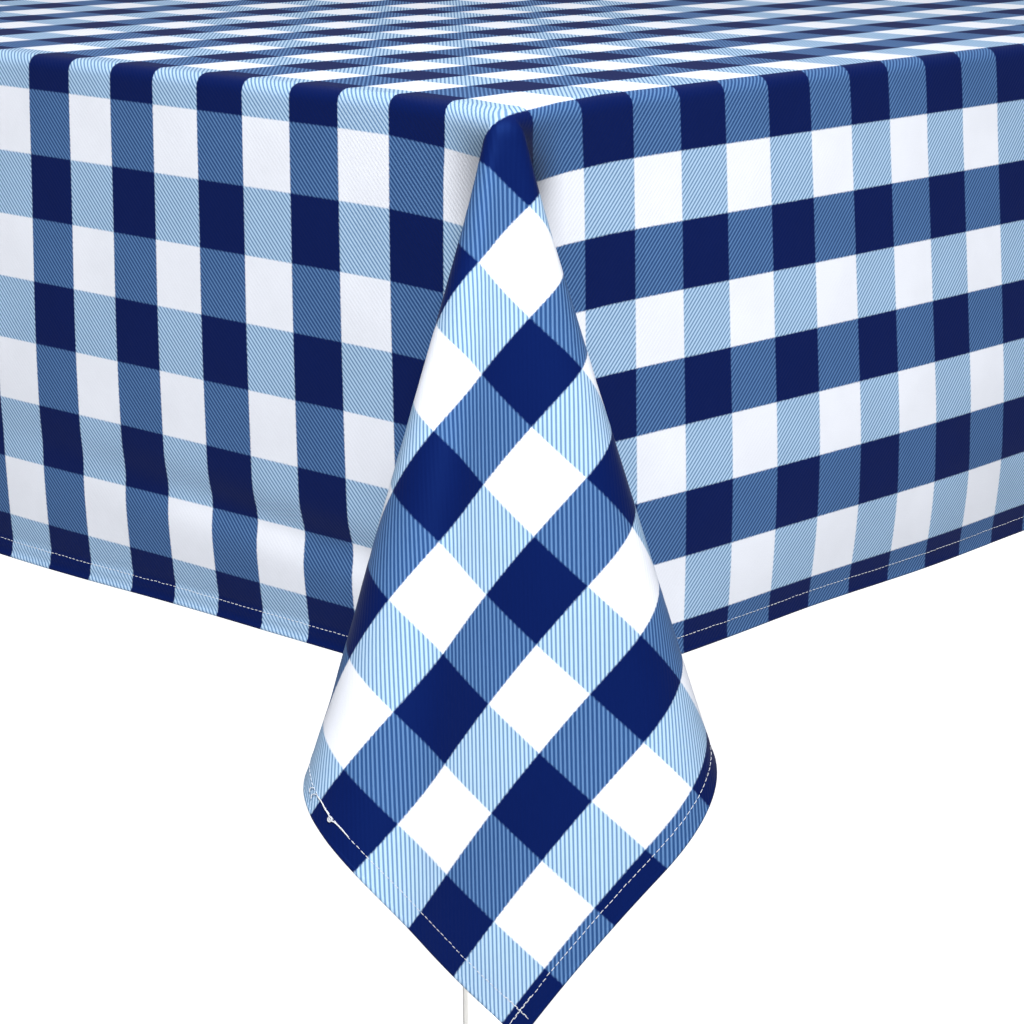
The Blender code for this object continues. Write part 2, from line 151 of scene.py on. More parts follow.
def walk(headings, radii, straights):
    """Points of the walk on the sphere, seen from below. Each step's sideways share is stretched by the
    angle over its sine, because circles round the pole are shorter than on a flat map. The stretch needs
    the points, so the sum is repeated until both agree."""
    parts = walk_of(headings, radii, straights)
    ends = np.concatenate([[0.0], np.cumsum(parts[:, 2])])
    along = np.linspace(0, ends[-1], STEPS + 1)
    middle = (along[1:] + along[:-1]) / 2
    part = np.clip(np.searchsorted(ends, middle, side="right") - 1, 0, len(parts) - 1)
    share = (middle - ends[part]) / parts[part, 2]
    heading = parts[part, 0] * (1 - share) + parts[part, 1] * share
    step = np.column_stack([np.cos(heading), np.sin(heading)]) * (along[1] - along[0])
    start = -NECK * np.array([np.cos(headings[0]), np.sin(headings[0])])
    points = start + np.concatenate([[[0.0, 0.0]], np.cumsum(step, axis=0)])
    for _ in range(STRETCH_ROUNDS):
        here = (points[1:] + points[:-1]) / 2
        far = np.maximum(np.hypot(here[:, 0], here[:, 1]), 1e-6)
        radial = here / far[:, None]
        round_about = np.column_stack([-radial[:, 1], radial[:, 0]])
        moved = (step * radial).sum(1)[:, None] * radial
        moved += ((step * round_about).sum(1) * far / np.sin(far))[:, None] * round_about
        points = start + np.concatenate([[[0.0, 0.0]], np.cumsum(moved, axis=0)])
    return along - NECK, points


def fold_curve(left, front, front_end, back, radii):
    """Angle in the flat cloth, and the way the cloth hangs there as (side, out), for one fold. Newton's
    method changes the three straight lengths until the walk comes home after a quarter turn."""
    headings = np.radians([45.0, left, front, front_end, back, -45.0])
    home = NECK * np.array([np.cos(headings[5]), np.sin(headings[5])])

    def miss(straights):
        along, points = walk(headings, radii, straights)
        return np.append(points[-1] - home, along[-1] - NECK - np.pi / 2)

    straights = np.array([0.21, 0.36, 0.08])
    for _ in range(SOLVE_ROUNDS):
        now = miss(straights)
        slope = np.array([(miss(straights + nudge) - now) / NUDGE for nudge in np.eye(3) * NUDGE])
        straights = straights - np.linalg.solve(slope.T, now)
    along, points = walk(headings, radii, straights)
    print("straight parts", np.round(straights, 3), "miss", f"{np.abs(miss(straights)).max():.1e}")
    return along, points


FOLDS = {
    (-1, -1): fold_curve(168.8, -37.7, -4.1, -248.7, (0.117, 0.1175)),
    (1, -1): fold_curve(158, -30, -4, -218, (0.105, 0.112)),
    (1, 1): fold_curve(165, -38, 2, -214, (0.098, 0.112)),
    (-1, 1): fold_curve(162, -33, -2, -222, (0.107, 0.118)),
}

# %% [markdown]
# ## The whole cloth as one map
# Every thread crossing of the flat cloth has a place on the draped one. On the top that
# place is straight up. Past the edge the cloth goes on along a path: it starts out level,
# bends over the rounded edge, and then hangs. The same rule serves a side and a corner,
# with a different way to hang and a wider bend at the corner, where the cloth can't
# crease and stands off as a small nose. Adding up short steps of the path's direction
# gives the place, and no step stretches the cloth.

# %% Map the flat cloth onto the table
EDGE_RADIUS = 0.006
EDGE_BEND = EDGE_RADIUS * np.pi / 2
BEND_START = EDGE - EDGE_RADIUS
NOSE_BEND = 0.0175
BIAS_STRETCH = 0.0177
BLUNT = 0.0015
BLUNT_AT = 0.014
EASE = 0.0087
EASE_WIDTH = 0.0394
EASE_SPREAD = 0.541
EASE_INSIDE = 0.0492
PATH_STEPS = 112
SKEW_A = -0.0045
SKEW_B = 0.0045
SKEW_REACH = 0.24


def smooth(x):
    """An even ramp from 0 to 1 with level ends: three x squared less two x cubed."""
    x = np.clip(x, 0, 1)
    return x * x * (3 - 2 * x)


HEM_FROM = 0.2495
FLARE_OVER = 0.003
FOLD_WIDTH = 0.010
FOLD_LENGTH = 0.15
LEAN_FADE = 0.2457
FIRST_LEAN_OVER = 0.09
WAVE = 0.0137
LONG_WAVE = 0.047
SHORT_WAVE = 0.029
WAVE_FULL_AT = 0.22
NECK_SPREAD = 0.3
LEANS = {
    "left": dict(
        start=1.9, out=2.7, under=10.5, curl_from=0.072, curl_over=0.242, phase=-0.35, keep=0.72, tilt=4.7,
        fold=19.0, fold_at=0.203, fold_along=-0.31, fold_slope=0.07, flare=19,
    ),
    "front": dict(
        start=6.2, out=4.7, under=14.8, curl_from=0.148, curl_over=0.111, phase=-2.69, keep=0.0, tilt=0.4,
        fold=2.5, fold_at=0.200, fold_along=-0.05, fold_slope=0.05, flare=5,
    ),
    "right": dict(
        start=3.0, out=2.0, under=11.0, curl_from=0.110, curl_over=0.160, phase=3.90, keep=0.5, tilt=-1.5,
        fold=4.0, fold_at=0.190, fold_along=0.10, fold_slope=0.08, flare=9,
    ),
    "back": dict(
        start=2.0, out=3.5, under=9.0, curl_from=0.090, curl_over=0.200, phase=5.20, keep=0.3, tilt=1.2,
        fold=5.0, fold_at=0.170, fold_along=-0.12, fold_slope=-0.05, flare=11,
    ),
}


def off_grain(a, b):
    """The threads that really lie at a place of the square: the near corner was cut and hemmed a little skew,
    so a few millimetres are added to one side and taken from the other there, and none elsewhere."""
    near = smooth((-EDGE - a) / SKEW_REACH) * smooth((-EDGE - b) / SKEW_REACH)
    return a + SKEW_A * near, b + SKEW_B * near


def lean_of(side, along, depth):
    """How far a hanging side leans out from plumb, in radians, at a depth below the edge and a place along.
    It leans out first and curls under further down. Two sine waves are added, growing with depth. One soft
    fold crosses it: x times e to the minus x squared, with x the distance from its line over its width. The
    hem's strip turns out at the bottom."""
    lean = LEANS[side]
    low = smooth((depth - lean["curl_from"]) / lean["curl_over"])
    away = lean["keep"] + (1 - lean["keep"]) * smooth((EDGE - np.abs(along)) / LEAN_FADE)
    first = lean["start"] + (lean["out"] - lean["start"]) * smooth(depth / FIRST_LEAN_OVER)
    first = first + lean["tilt"] * along / EDGE
    wave = np.sin(along / LONG_WAVE + lean["phase"]) * 0.6
    wave = wave + np.sin(along / SHORT_WAVE + 2.3 * lean["phase"]) * 0.4
    below = (depth - lean["fold_at"] + lean["fold_slope"] * (along + 0.25)) / FOLD_WIDTH
    strength = np.radians(lean["fold"]) * np.exp(-(((along - lean["fold_along"]) / FOLD_LENGTH) ** 2))
    fold = 1.65 * below * np.exp(-(below**2)) * strength
    flare = np.radians(lean["flare"]) * smooth((depth - HEM_FROM) / FLARE_OVER)
    hanging = np.radians(first - lean["under"] * low) + WAVE * wave * smooth(depth / WAVE_FULL_AT)
    return away * hanging + fold + flare


def eased(over_x, over_y):
    """How far each point has been drawn out over the nearest corner. The hanging corner pulls on the bias,
    where twill gives most, so the pull is along the diagonal, full at the corner, and fades towards both
    sides like e to the minus square of the distance."""
    out, across = (over_x + over_y) / np.sqrt(2), (over_x - over_y) / np.sqrt(2)
    reach = EASE_WIDTH + EASE_SPREAD * np.maximum(out, 0)
    drawn = EASE * smooth(1 + out / EASE_INSIDE) * np.exp(-((across / reach) ** 2)) / np.sqrt(2)
    return over_x + drawn, over_y + drawn


def hang(a, b):
    """Where a point of the flat cloth is once draped: level steps to the edge, and from there the sum of
    short steps that turn from level to hanging over the bend. Two corners use their fold mirrored."""
    a, b = np.broadcast_arrays(a, b)
    shape = a.shape
    a, b = off_grain(a.ravel(), b.ravel())
    sign_x, sign_y = np.where(a < 0, -1, 1), np.where(b < 0, -1, 1)
    over_x, over_y = eased(np.abs(a) - BEND_START, np.abs(b) - BEND_START)
    past_x, past_y = np.maximum(over_x, 0), np.maximum(over_y, 0)
    reach = np.hypot(past_x, past_y)
    angle = np.arctan2(past_y, past_x)
    share = (np.arange(PATH_STEPS) + 0.5) / PATH_STEPS
    far = reach[:, None] * share**2
    stride = reach[:, None] * 2 * share / PATH_STEPS
    level = np.stack([np.cos(angle), np.sin(angle), np.zeros_like(angle)], -1)[:, None, :]
    hanging = np.zeros((len(a), PATH_STEPS, 3))
    puffed = np.zeros(len(a))
    for (sx, sy), (along, points) in FOLDS.items():
        here = (sign_x == sx) & (sign_y == sy) & (reach > 0)
        turned = angle[here] if sx == sy else np.pi / 2 - angle[here]
        side = np.interp(turned, along, points[:, 0]) * sx * sy
        out = np.interp(turned, along, points[:, 1])
        size = np.maximum(np.hypot(side, out), 1e-9)
        scale = np.sin(size) / size
        way = np.stack([(out - side) * scale, (out + side) * scale], -1) / np.sqrt(2)
        hanging[here, :, :2] = way[:, None, :]
        puffed[here] = BLUNT * side / np.abs(points[:, 0]).max()
    for side, here, along, turned, axis in (
        ("left", (sign_x == -1) & (over_x > 0), b, angle, 0),
        ("right", (sign_x == 1) & (over_x > 0), b, angle, 0),
        ("front", (sign_y == -1) & (over_y > 0), a, np.pi / 2 - angle, 1),
        ("back", (sign_y == 1) & (over_y > 0), a, np.pi / 2 - angle, 1),
    ):
        lean = lean_of(side, np.clip(along[here, None], -EDGE, EDGE), far[here])
        hanging[here, :, axis] += np.sin(lean) * np.exp(-((turned[here, None] / NECK_SPREAD) ** 2))
    hanging[..., 2] = -np.sqrt(np.maximum(1 - hanging[..., 0] ** 2 - hanging[..., 1] ** 2, 0))
    corner = np.sin(2 * angle) ** 2
    bend = EDGE_BEND + (NOSE_BEND - EDGE_BEND) * corner**0.5
    part = np.clip(far / bend[:, None], 0, 1)[..., None]
    between = np.arccos(np.clip((level * hanging).sum(-1), -1, 1))[..., None]
    way = np.sin((1 - part) * between) * level + np.sin(part * between) * hanging
    way = way / np.sin(between) * (1 + BIAS_STRETCH * corner)[:, None, None]
    path = (way * stride[..., None]).sum(1)
    puffed = puffed * (reach / BLUNT_AT * np.exp(1 - reach / BLUNT_AT)) ** 2
    path[:, 0] -= puffed / np.sqrt(2)
    path[:, 1] += puffed / np.sqrt(2)
    x = sign_x * (BEND_START + np.minimum(over_x, 0) + path[:, 0])
    y = sign_y * (BEND_START + np.minimum(over_y, 0) + path[:, 1])
    return np.stack([x, y, TOP_Z + path[:, 2]], -1).reshape(*shape, 3)


# %% Grid lines of the cloth
def grid_lines(low, high):
    """Places of the grid lines across the cloth: close together over the table's edge and the nose, a little
    wider on the hanging part, and wide apart on the flat top."""
    near = np.arange(-0.009, 0.0385, 0.0035)
    top = np.linspace(-EDGE + 0.009, EDGE - 0.009, 31)[1:-1]
    hem = np.array([0, 0.003, 0.006, 0.009, 0.0125])
    first = np.linspace(low + 0.018, -EDGE - near[-1], 30)[:-1]
    last = np.linspace(EDGE + near[-1], high - 0.018, 30)[1:]
    return np.concatenate([low + hem, first, -EDGE - near[::-1], top, EDGE + near, last, high - hem[::-1]])


A_LINES = grid_lines(LOW_A, HIGH_A)
B_LINES = grid_lines(LOW_B, HIGH_B)
draped = hang(A_LINES[:, None], B_LINES[None, :])
print("grid", draped.shape, "lowest point", round(float(draped[..., 2].min()), 4))

# %% [markdown]
# ## Settling the cloth
# The map gives the big shape, but real cloth also sags a little between its folds. A cloth
# simulation does that last part. Started from a flat sheet in the air it would take
# minutes and never fold the same way twice, so it starts from the map. Its threads are
# told their true lengths by a shape key that holds the flat cloth. The top is pinned, and
# the hanging part is held only loosely to where the map put it. Only the broad part of the
# sag is kept, and never more than two millimetres of it.

# %% Make meshes
def put_on_body(obj, body, slot, *nodes):
    """Give a finished piece its body and hide the CAD nodes that it stands for. The slot argument is not
    used.
    """
    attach(obj, body)
    if nodes:
        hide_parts(*nodes)


def mesh_object(name, points, faces):
    """A smooth-shaded piece from its points and faces."""
    mesh = bpy.data.meshes.new(name)
    mesh.from_pydata(points.reshape(-1, 3), [], faces)
    mesh.polygons.foreach_set("use_smooth", np.ones(len(mesh.polygons), bool))
    obj = bpy.data.objects.new(name, mesh)
    scene.collection.objects.link(obj)
    return obj


def grid_object(name, points):
    """A sheet of squares through a grid of points, with each face counted so that it looks up."""
    rows, columns = points.shape[:2]
    first = np.arange(rows - 1)[:, None] * columns + np.arange(columns - 1)[None, :]
    faces = np.stack([first, first + columns, first + columns + 1, first + 1], -1).reshape(-1, 4)
    return mesh_object(name, points, faces)


def tube_faces(points_round, rings):
    """Squares between neighbouring rings of a tube, and one cap at each end."""
    ring = np.arange(points_round)
    first = np.arange(rings - 1)[:, None] * points_round + ring
    after = np.arange(rings - 1)[:, None] * points_round + np.roll(ring, -1)
    sides = np.stack([first, after, after + points_round, first + points_round], -1).reshape(-1, 4)
    return sides, ring[::-1], (rings - 1) * points_round + ring


# %% Settle it
SETTLE_FRAMES = 30
MOST_SAG = 0.002
LOOSENED = 0.86
LOOSE_FROM = 0.004
LOOSE_OVER = 0.03
AVERAGINGS = 24
CLOTH_SETTINGS = {
    "quality": 6, "mass": 0.12, "air_damping": 4, "vertex_group_mass": "hold", "pin_stiffness": 2.0,
    "tension_stiffness": 40, "compression_stiffness": 20, "shear_stiffness": 6, "bending_stiffness": 1.5,
    "tension_damping": 20, "compression_damping": 20, "shear_damping": 20, "bending_damping": 2,
}


def settle(points):
    """Run the cloth simulation from these points and return where it brings them. Each point is held to its
    place, fully on the top and loosely below the edge."""
    obj = grid_object("settling_cloth", points)
    flat = np.stack(np.broadcast_arrays(A_LINES[:, None], B_LINES[None, :], TOP_Z), -1)
    obj.shape_key_add(name="draped")
    rest = obj.shape_key_add(name="flat")
    rest.data.foreach_set("co", flat.ravel().astype(np.float32))
    depth = (TOP_Z - points[..., 2]).ravel()
    hold = 1.0 - LOOSENED * smooth((depth - LOOSE_FROM) / LOOSE_OVER)
    group = obj.vertex_groups.new(name="hold")
    for level in np.unique(np.round(hold, 2)):
        group.add(np.flatnonzero(np.round(hold, 2) == level).tolist(), float(level), "REPLACE")
    modifier = obj.modifiers.new("settle", "CLOTH")
    cloth = modifier.settings
    for key, value in CLOTH_SETTINGS.items():
        setattr(cloth, key, value)
    cloth.rest_shape_key = rest
    modifier.collision_settings.use_collision = False
    modifier.point_cache.frame_end = SETTLE_FRAMES + 1
    for frame_number in range(1, SETTLE_FRAMES + 1):
        scene.frame_set(frame_number)
    graph = bpy.context.evaluated_depsgraph_get()
    done = obj.evaluated_get(graph).to_mesh()
    out = np.empty(len(done.vertices) * 3, np.float32)
    done.vertices.foreach_get("co", out)
    out = out.reshape(points.shape).astype(float)
    mesh = obj.data
    bpy.data.objects.remove(obj)
    bpy.data.meshes.remove(mesh)
    scene.frame_set(1)
    return out


def broad(shift):
    """The slow part of a shift over the grid: each place is averaged with its four neighbours, again and
    again, which leaves long sags and takes out the ripple that a coarse grid adds."""
    for _ in range(AVERAGINGS):
        wide = np.pad(shift, ((1, 1), (1, 1), (0, 0)), mode="edge")
        around = wide[2:, 1:-1] + wide[:-2, 1:-1] + wide[1:-1, 2:] + wide[1:-1, :-2]
        shift = 0.5 * shift + 0.125 * around
    return shift


def capped(shift):
    """The shift with its length eased down so that it never passes the most allowed: times the most, over
    the root of both squares added."""
    length = np.linalg.norm(shift, axis=-1, keepdims=True)
    return shift * MOST_SAG / np.sqrt(MOST_SAG**2 + length**2)


settled = draped + capped(broad(settle(draped) - draped))
moved = np.linalg.norm(settled - draped, axis=-1)
print(f"settled: moved {moved.mean() * 1000:.1f} mm on average, {moved.max() * 1000:.1f} mm at most")

# %% [markdown]
# ## A smooth surface through the settled threads
# Hems and stitches have to lie exactly on the cloth, wherever they are. A Subdivision
# Surface would round the cloth but leave them guessing, so the cloth is read through one
# function instead: a Catmull-Rom patch, which passes through every settled point.

# %% Read the cloth anywhere
def padded_grid(grid):
    """The grid with one more line on each side, carried straight on."""
    grid = np.concatenate([2 * grid[:1] - grid[1:2], grid, 2 * grid[-1:] - grid[-2:-1]], 0)
    return np.concatenate([2 * grid[:, :1] - grid[:, 1:2], grid, 2 * grid[:, -1:] - grid[:, -2:-1]], 1)


def between_lines(lines, value):
    """The grid line before a value, and the Catmull-Rom shares of the four lines round it. The slope at a
    line is the rise between its neighbours over the distance between them, since the lines aren't evenly
    spaced."""
    first = np.clip(np.searchsorted(lines, value, side="right") - 1, 0, len(lines) - 2)
    knots = np.concatenate([[2 * lines[0] - lines[1]], lines, [2 * lines[-1] - lines[-2]]])
    before, here, there, after = (knots[first + k] for k in range(4))
    t = (value - here) / (there - here)
    rise = (t - 2 * t**2 + t**3) * (there - here) / (there - before)
    fall = (t**3 - t**2) * (there - here) / (after - here)
    ease = 3 * t**2 - 2 * t**3
    return first, np.stack([-rise, 1 - ease - fall, ease + rise, fall])


def unit(vectors):
    """The same directions with length one."""
    return vectors / np.linalg.norm(vectors, axis=-1, keepdims=True)


SURFACE = padded_grid(settled)
FRAME_STEP = 0.0012


def cloth_at(a, b):
    """The place on the draped cloth of points of the flat cloth: sixteen grid points times their shares."""
    a, b = np.broadcast_arrays(np.asarray(a, float), np.asarray(b, float))
    first_a, share_a = between_lines(A_LINES, a)
    first_b, share_b = between_lines(B_LINES, b)
    out = np.zeros((*a.shape, 3))
    for i in range(4):
        for j in range(4):
            out += (share_a[i] * share_b[j])[..., None] * SURFACE[first_a + i, first_b + j]
    return out


def cloth_frame(a, b):
    """Directions of both threads and the outward normal there, from points a short step to either side."""
    a, b = np.broadcast_arrays(np.asarray(a, float), np.asarray(b, float))
    low_a, high_a = np.clip(a - FRAME_STEP, LOW_A, HIGH_A), np.clip(a + FRAME_STEP, LOW_A, HIGH_A)
    low_b, high_b = np.clip(b - FRAME_STEP, LOW_B, HIGH_B), np.clip(b + FRAME_STEP, LOW_B, HIGH_B)
    along_a = unit(cloth_at(high_a, b) - cloth_at(low_a, b))
    along_b = unit(cloth_at(a, high_b) - cloth_at(a, low_b))
    return along_a, along_b, unit(np.cross(along_a, along_b))


# %% The cloth piece
CLOTH_THICK = 0.0006
FINENESS = 2


def finer(lines):
    """The lines with more between them, but none added on the flat top."""
    parts = [np.linspace(lines[k], lines[k + 1], FINENESS, endpoint=False) for k in range(len(lines) - 1)]
    flat = np.abs(lines[:-1] + lines[1:]) / 2 < EDGE - 0.012
    parts = [part[:1] if is_flat else part for part, is_flat in zip(parts, flat)]
    return np.append(np.concatenate(parts), lines[-1])


def check_uv(obj, a, b):
    """Write the pattern's own measure into the piece: one unit is one check, along each thread."""
    layer = obj.data.uv_layers.new(name="checks")
    corners = np.empty(len(obj.data.loops), np.int32)
    obj.data.loops.foreach_get("vertex_index", corners)
    a, b = off_grain(np.asarray(a, float), np.asarray(b, float))
    u = (np.ravel(a) + EDGE) / CHECK_LONG + PATTERN_U
    v = (np.ravel(b) + EDGE) / CHECK + PATTERN_V
    layer.data.foreach_set("uv", np.column_stack([u, v])[corners].ravel().astype(np.float32))


mesh_a, mesh_b = np.meshgrid(finer(A_LINES), finer(B_LINES), indexing="ij")
tablecloth = grid_object("checked_tablecloth", cloth_at(mesh_a, mesh_b))
check_uv(tablecloth, mesh_a, mesh_b)
wall = tablecloth.modifiers.new("thickness", "SOLIDIFY")
wall.thickness = CLOTH_THICK
wall.offset = -1
wall.use_rim = True
put_on_body(
    tablecloth, "cloth", "check_cloth", "cloth_top",
    *[f"cloth_drop_{side}" for side in ("front", "right", "back", "left")],
    *[f"cloth_corner_{corner}" for corner in ("front_left", "front_right", "back_right", "back_left")],
)

# %% [markdown]
# ## The hems
# The cut edge is folded under twice and sewn down, so the cloth is three layers thick for
# the width of a finger's tip. From outside only a slightly fuller edge shows, and a line of
# stitches. Each hem here is its own band: one closed outline, from the rolled edge to the
# inner fold, carried along the edge of the cloth.

# %% Walk along the four edges
HEM_WIDTH = 0.0083
SIDES = {
    "front": ((LOW_A, LOW_B), (1, 0), (0, 1)),
    "right": ((HIGH_A, LOW_B), (0, 1), (-1, 0)),
    "back": ((HIGH_A, HIGH_B), (-1, 0), (0, -1)),
    "left": ((LOW_A, HIGH_B), (0, -1), (1, 0)),
}


def edge_point(side, along, inward):
    """The flat cloth's coordinates a length along one edge, turning left at each corner, and a length in."""
    start, way, inner = SIDES[side]
    a = start[0] + way[0] * along + inner[0] * inward
    b = start[1] + way[1] * along + inner[1] * inward
    return a, b


def waver(x, seed):
    """An uneven wave between about -1 and 1: four sines of unrelated lengths."""
    return (
        0.4 * np.sin(x / 0.0061 + seed) + 0.3 * np.sin(x / 0.0037 + 2.1 * seed)
        + 0.3 * np.sin(x / 0.0113 + 3.7 * seed) + 0.2 * np.sin(x / 0.0023 + 5.3 * seed)
    )


# %% Fold the hems
HEM_STEPS = 392
OVERLAP = 0.0011
OVERLAP_FADE = 0.004
INNER_WAVER = 0.00022
FOLD_WAVER = 0.0002
HEM_OUTLINE = np.array([
    (2.4, 0.25), (1.3, -0.10), (0.5, -0.14), (-0.1, 0.0), (-0.42, 0.35), (-0.42, 0.85), (-0.1, 1.2),
    (0.6, 1.42), (3.4, 1.40), (6.6, 1.40), (7.9, 1.32), (8.3, 1.05), (8.3, 0.5), (6.0, 0.3),
]) / 1000


def hem_band(side, seed):
    """The hem's outline (in from the edge, down from the outer face) carried along its edge. The band's start
    lies over the end of the hem before it, and its inner face wavers as sewn cloth does."""
    along = np.linspace(0, CLOTH_SIDE, HEM_STEPS + 1)[:, None]
    inward, under, along = np.broadcast_arrays(HEM_OUTLINE[None, :, 0], HEM_OUTLINE[None, :, 1], along)
    inner = smooth((under - CLOTH_THICK) / CLOTH_THICK)
    over = OVERLAP * (1 - smooth((along - HEM_WIDTH) / OVERLAP_FADE))
    under = under + inner * (over + INNER_WAVER * waver(along, seed))
    inward = inward + FOLD_WAVER * waver(along, seed + 1.7) * (inward > 0.007)
    a, b = edge_point(side, along, inward)
    inside_a, inside_b = np.clip(a, LOW_A, HIGH_A), np.clip(b, LOW_B, HIGH_B)
    way_a, way_b, normal = cloth_frame(inside_a, inside_b)
    points = cloth_at(inside_a, inside_b) + (a - inside_a)[..., None] * way_a
    points = points + (b - inside_b)[..., None] * way_b - under[..., None] * normal
    squares, low_cap, high_cap = tube_faces(len(HEM_OUTLINE), HEM_STEPS + 1)
    band = mesh_object(f"hem_{side}", points, [*squares.tolist(), low_cap.tolist(), high_cap.tolist()])
    outline = np.linalg.norm(np.diff(HEM_OUTLINE, axis=0), axis=1)
    round_it = HEM_OUTLINE[0, 0] - np.concatenate([[0], np.cumsum(outline)])
    check_uv(band, *edge_point(side, along, np.broadcast_to(round_it[None, :], along.shape)))
    return band


hems = {side: hem_band(side, 1.3 + 2 * k) for k, side in enumerate(SIDES)}
for hem in hems.values():
    put_on_body(hem, "cloth", "check_cloth")

# %% [markdown]
# ## The stitching
# A lockstitch shows as a row of short dashes on both faces. Each dash is a little rope of
# thread that rises out of one needle hole, lies on the cloth and goes down the next. One
# dash of a few dozen faces is enough, repeated along the edge in one array calculation.

# %% Sew the hems
STITCH_PITCH = 0.0027
STITCH_IN = 0.0080
SEAM_END = 0.0006
TACKS = 5
TACK_OFFSET = 0.00032
THREAD = 0.00016
POINTS_ROUND = 6
AROUND = np.linspace(0, 2 * np.pi, POINTS_ROUND, endpoint=False)
DASH_RINGS = 6
WANDER = 0.00012
SHAKE = 0.00006
SHORTEST, LONGEST = 0.86, 0.93
INNER_FACE = 0.00142
STITCHES = int((CLOTH_SIDE - 2 * SEAM_END) / STITCH_PITCH)


def dash():
    """One stitch as (along, across, up) in shares of its length and thickness: a tube whose ends narrow and
    dive into the cloth, by one minus the fourth power of the distance from its middle."""
    t = np.linspace(0, 1, DASH_RINGS)
    thick = np.sqrt(np.clip(1 - (2 * t - 1) ** 4, 0.04, 1))
    along = np.repeat(t, POINTS_ROUND)
    across = (thick[:, None] * np.cos(AROUND)).ravel()
    up = (thick[:, None] * np.sin(AROUND)).ravel()
    lift = np.repeat(1.1 - 2.6 * (2 * t - 1) ** 4, POINTS_ROUND)
    return along, across, up + lift


def seam(side, seed):
    """Every stitch of one hem, outer and inner, set on the cloth by its place along the edge. The machine is
    run back for a few stitches at both ends, a thread's width to one side, which locks the seam."""
    rng = np.random.default_rng(seed)
    start = SEAM_END + (np.arange(STITCHES) + 0.12) * STITCH_PITCH
    start = np.concatenate([start, start[:TACKS] + STITCH_PITCH / 2, start[-TACKS:] - STITCH_PITCH / 2])
    back = np.where(np.arange(len(start)) < STITCHES, 0, TACK_OFFSET)
    count = len(start)
    along, across, up = dash()
    sides, low_cap, high_cap = tube_faces(POINTS_ROUND, DASH_RINGS)
    points, faces, caps = [], [], []
    for face, depth, later in ((1, 0, 0), (-1, INNER_FACE, STITCH_PITCH / 2)):
        wander = WANDER * waver(start, seed) + rng.normal(0, SHAKE, count) + back
        length = STITCH_PITCH * rng.uniform(SHORTEST, LONGEST, count)
        t = start[:, None] + length[:, None] * along[None, :] + later
        a, b = edge_point(side, t, STITCH_IN + wander[:, None] + THREAD * across[None, :])
        _, _, normal = cloth_frame(a, b)
        height = THREAD * 0.8 * up[None, :] * face - depth
        offset = sum(len(p) for p in points) + np.arange(count)[:, None, None] * len(along)
        points.append((cloth_at(a, b) + height[..., None] * normal).reshape(-1, 3))
        faces.append((sides[None, :, ::face] + offset).reshape(-1, 4))
        for cap in (low_cap, high_cap):
            caps.append((cap[None, None, ::face] + offset).reshape(-1, len(cap)))
    all_faces = np.concatenate(faces).tolist() + np.concatenate(caps).tolist()
    return mesh_object(f"hem_stitching_{side}", np.concatenate(points), all_faces)


seams = {side: seam(side, 3 + k) for k, side in enumerate(SIDES)}
for side, stitches in seams.items():
    put_on_body(stitches, "cloth", "white_thread", f"hem_thread_{side}")
print("stitches per side", STITCHES)

# %% [markdown]
# ## Where the seam was joined
# Near the corner on the left hem the thread ran out and the seam was started again over
# itself. On the real cloth this shows as a thicker stretch of thread, a small knot and two
# frayed ends. A bevelled curve would do, but its rings turn freely, so each strand is a
# tube whose rings are squared to the cloth below it.

# %% The knot and its loose ends
KNOT_AT = CLOTH_SIDE - 0.1250
KNOT_SIZE = 0.0010
STRAND_STEPS = 40


def strand(along, inward, height, thick):
    """A thread over the left hem, through places given by their length along the edge, distance in from it
    and height above the cloth: rings of points across its run, thinner at both ends."""
    a, b = edge_point("left", along, inward)
    _, _, normal = cloth_frame(a, b)
    path = cloth_at(a, b) + height[:, None] * normal
    run = unit(np.gradient(path, axis=0))
    across = unit(np.cross(normal, run))
    rise = np.cross(run, across)
    turn = AROUND[None, :, None]
    size = thick * np.sqrt(np.clip(1 - np.linspace(-1, 1, len(path)) ** 8, 0.05, 1))
    ring = np.cos(turn) * across[:, None, :] + np.sin(turn) * rise[:, None, :]
    return (path[:, None, :] + size[:, None, None] * ring).reshape(-1, 3)


def knot_strands():
    """The doubled run of thread with its kink, the knot as one and a half turns, and two hooked ends."""
    t = np.linspace(0, 1, STRAND_STEPS + 1)
    kink = KNOT_SIZE * np.exp(-(((t - 0.55) / 0.05) ** 2))
    doubled = strand(
        KNOT_AT - 0.0130 + 0.0240 * t,
        STITCH_IN + 0.00025 * np.sin(9 * t) - kink,
        THREAD * (2.4 + 0.7 * np.sin(23 * t)),
        THREAD * 1.9,
    )
    knot = strand(
        KNOT_AT + KNOT_SIZE * np.cos(9.4 * t) * (1 - 0.3 * t),
        STITCH_IN - KNOT_SIZE + KNOT_SIZE * np.sin(9.4 * t),
        THREAD * (3.0 + 2.0 * np.sin(6 * t) ** 2),
        THREAD * 2.0,
    )
    first_end = strand(
        KNOT_AT - 0.0128 - 0.0018 * np.sin(2.6 * t),
        STITCH_IN - 0.0034 * t,
        THREAD * (3 + 5 * t * (1.3 - t)),
        THREAD * 1.3,
    )
    second_end = strand(
        KNOT_AT - 0.0165 - 0.0016 * np.sin(2.9 * t),
        STITCH_IN - 0.0028 * t,
        THREAD * (2.5 + 6 * t * (1.2 - t)),
        THREAD * 1.2,
    )
    return [doubled, knot, first_end, second_end]


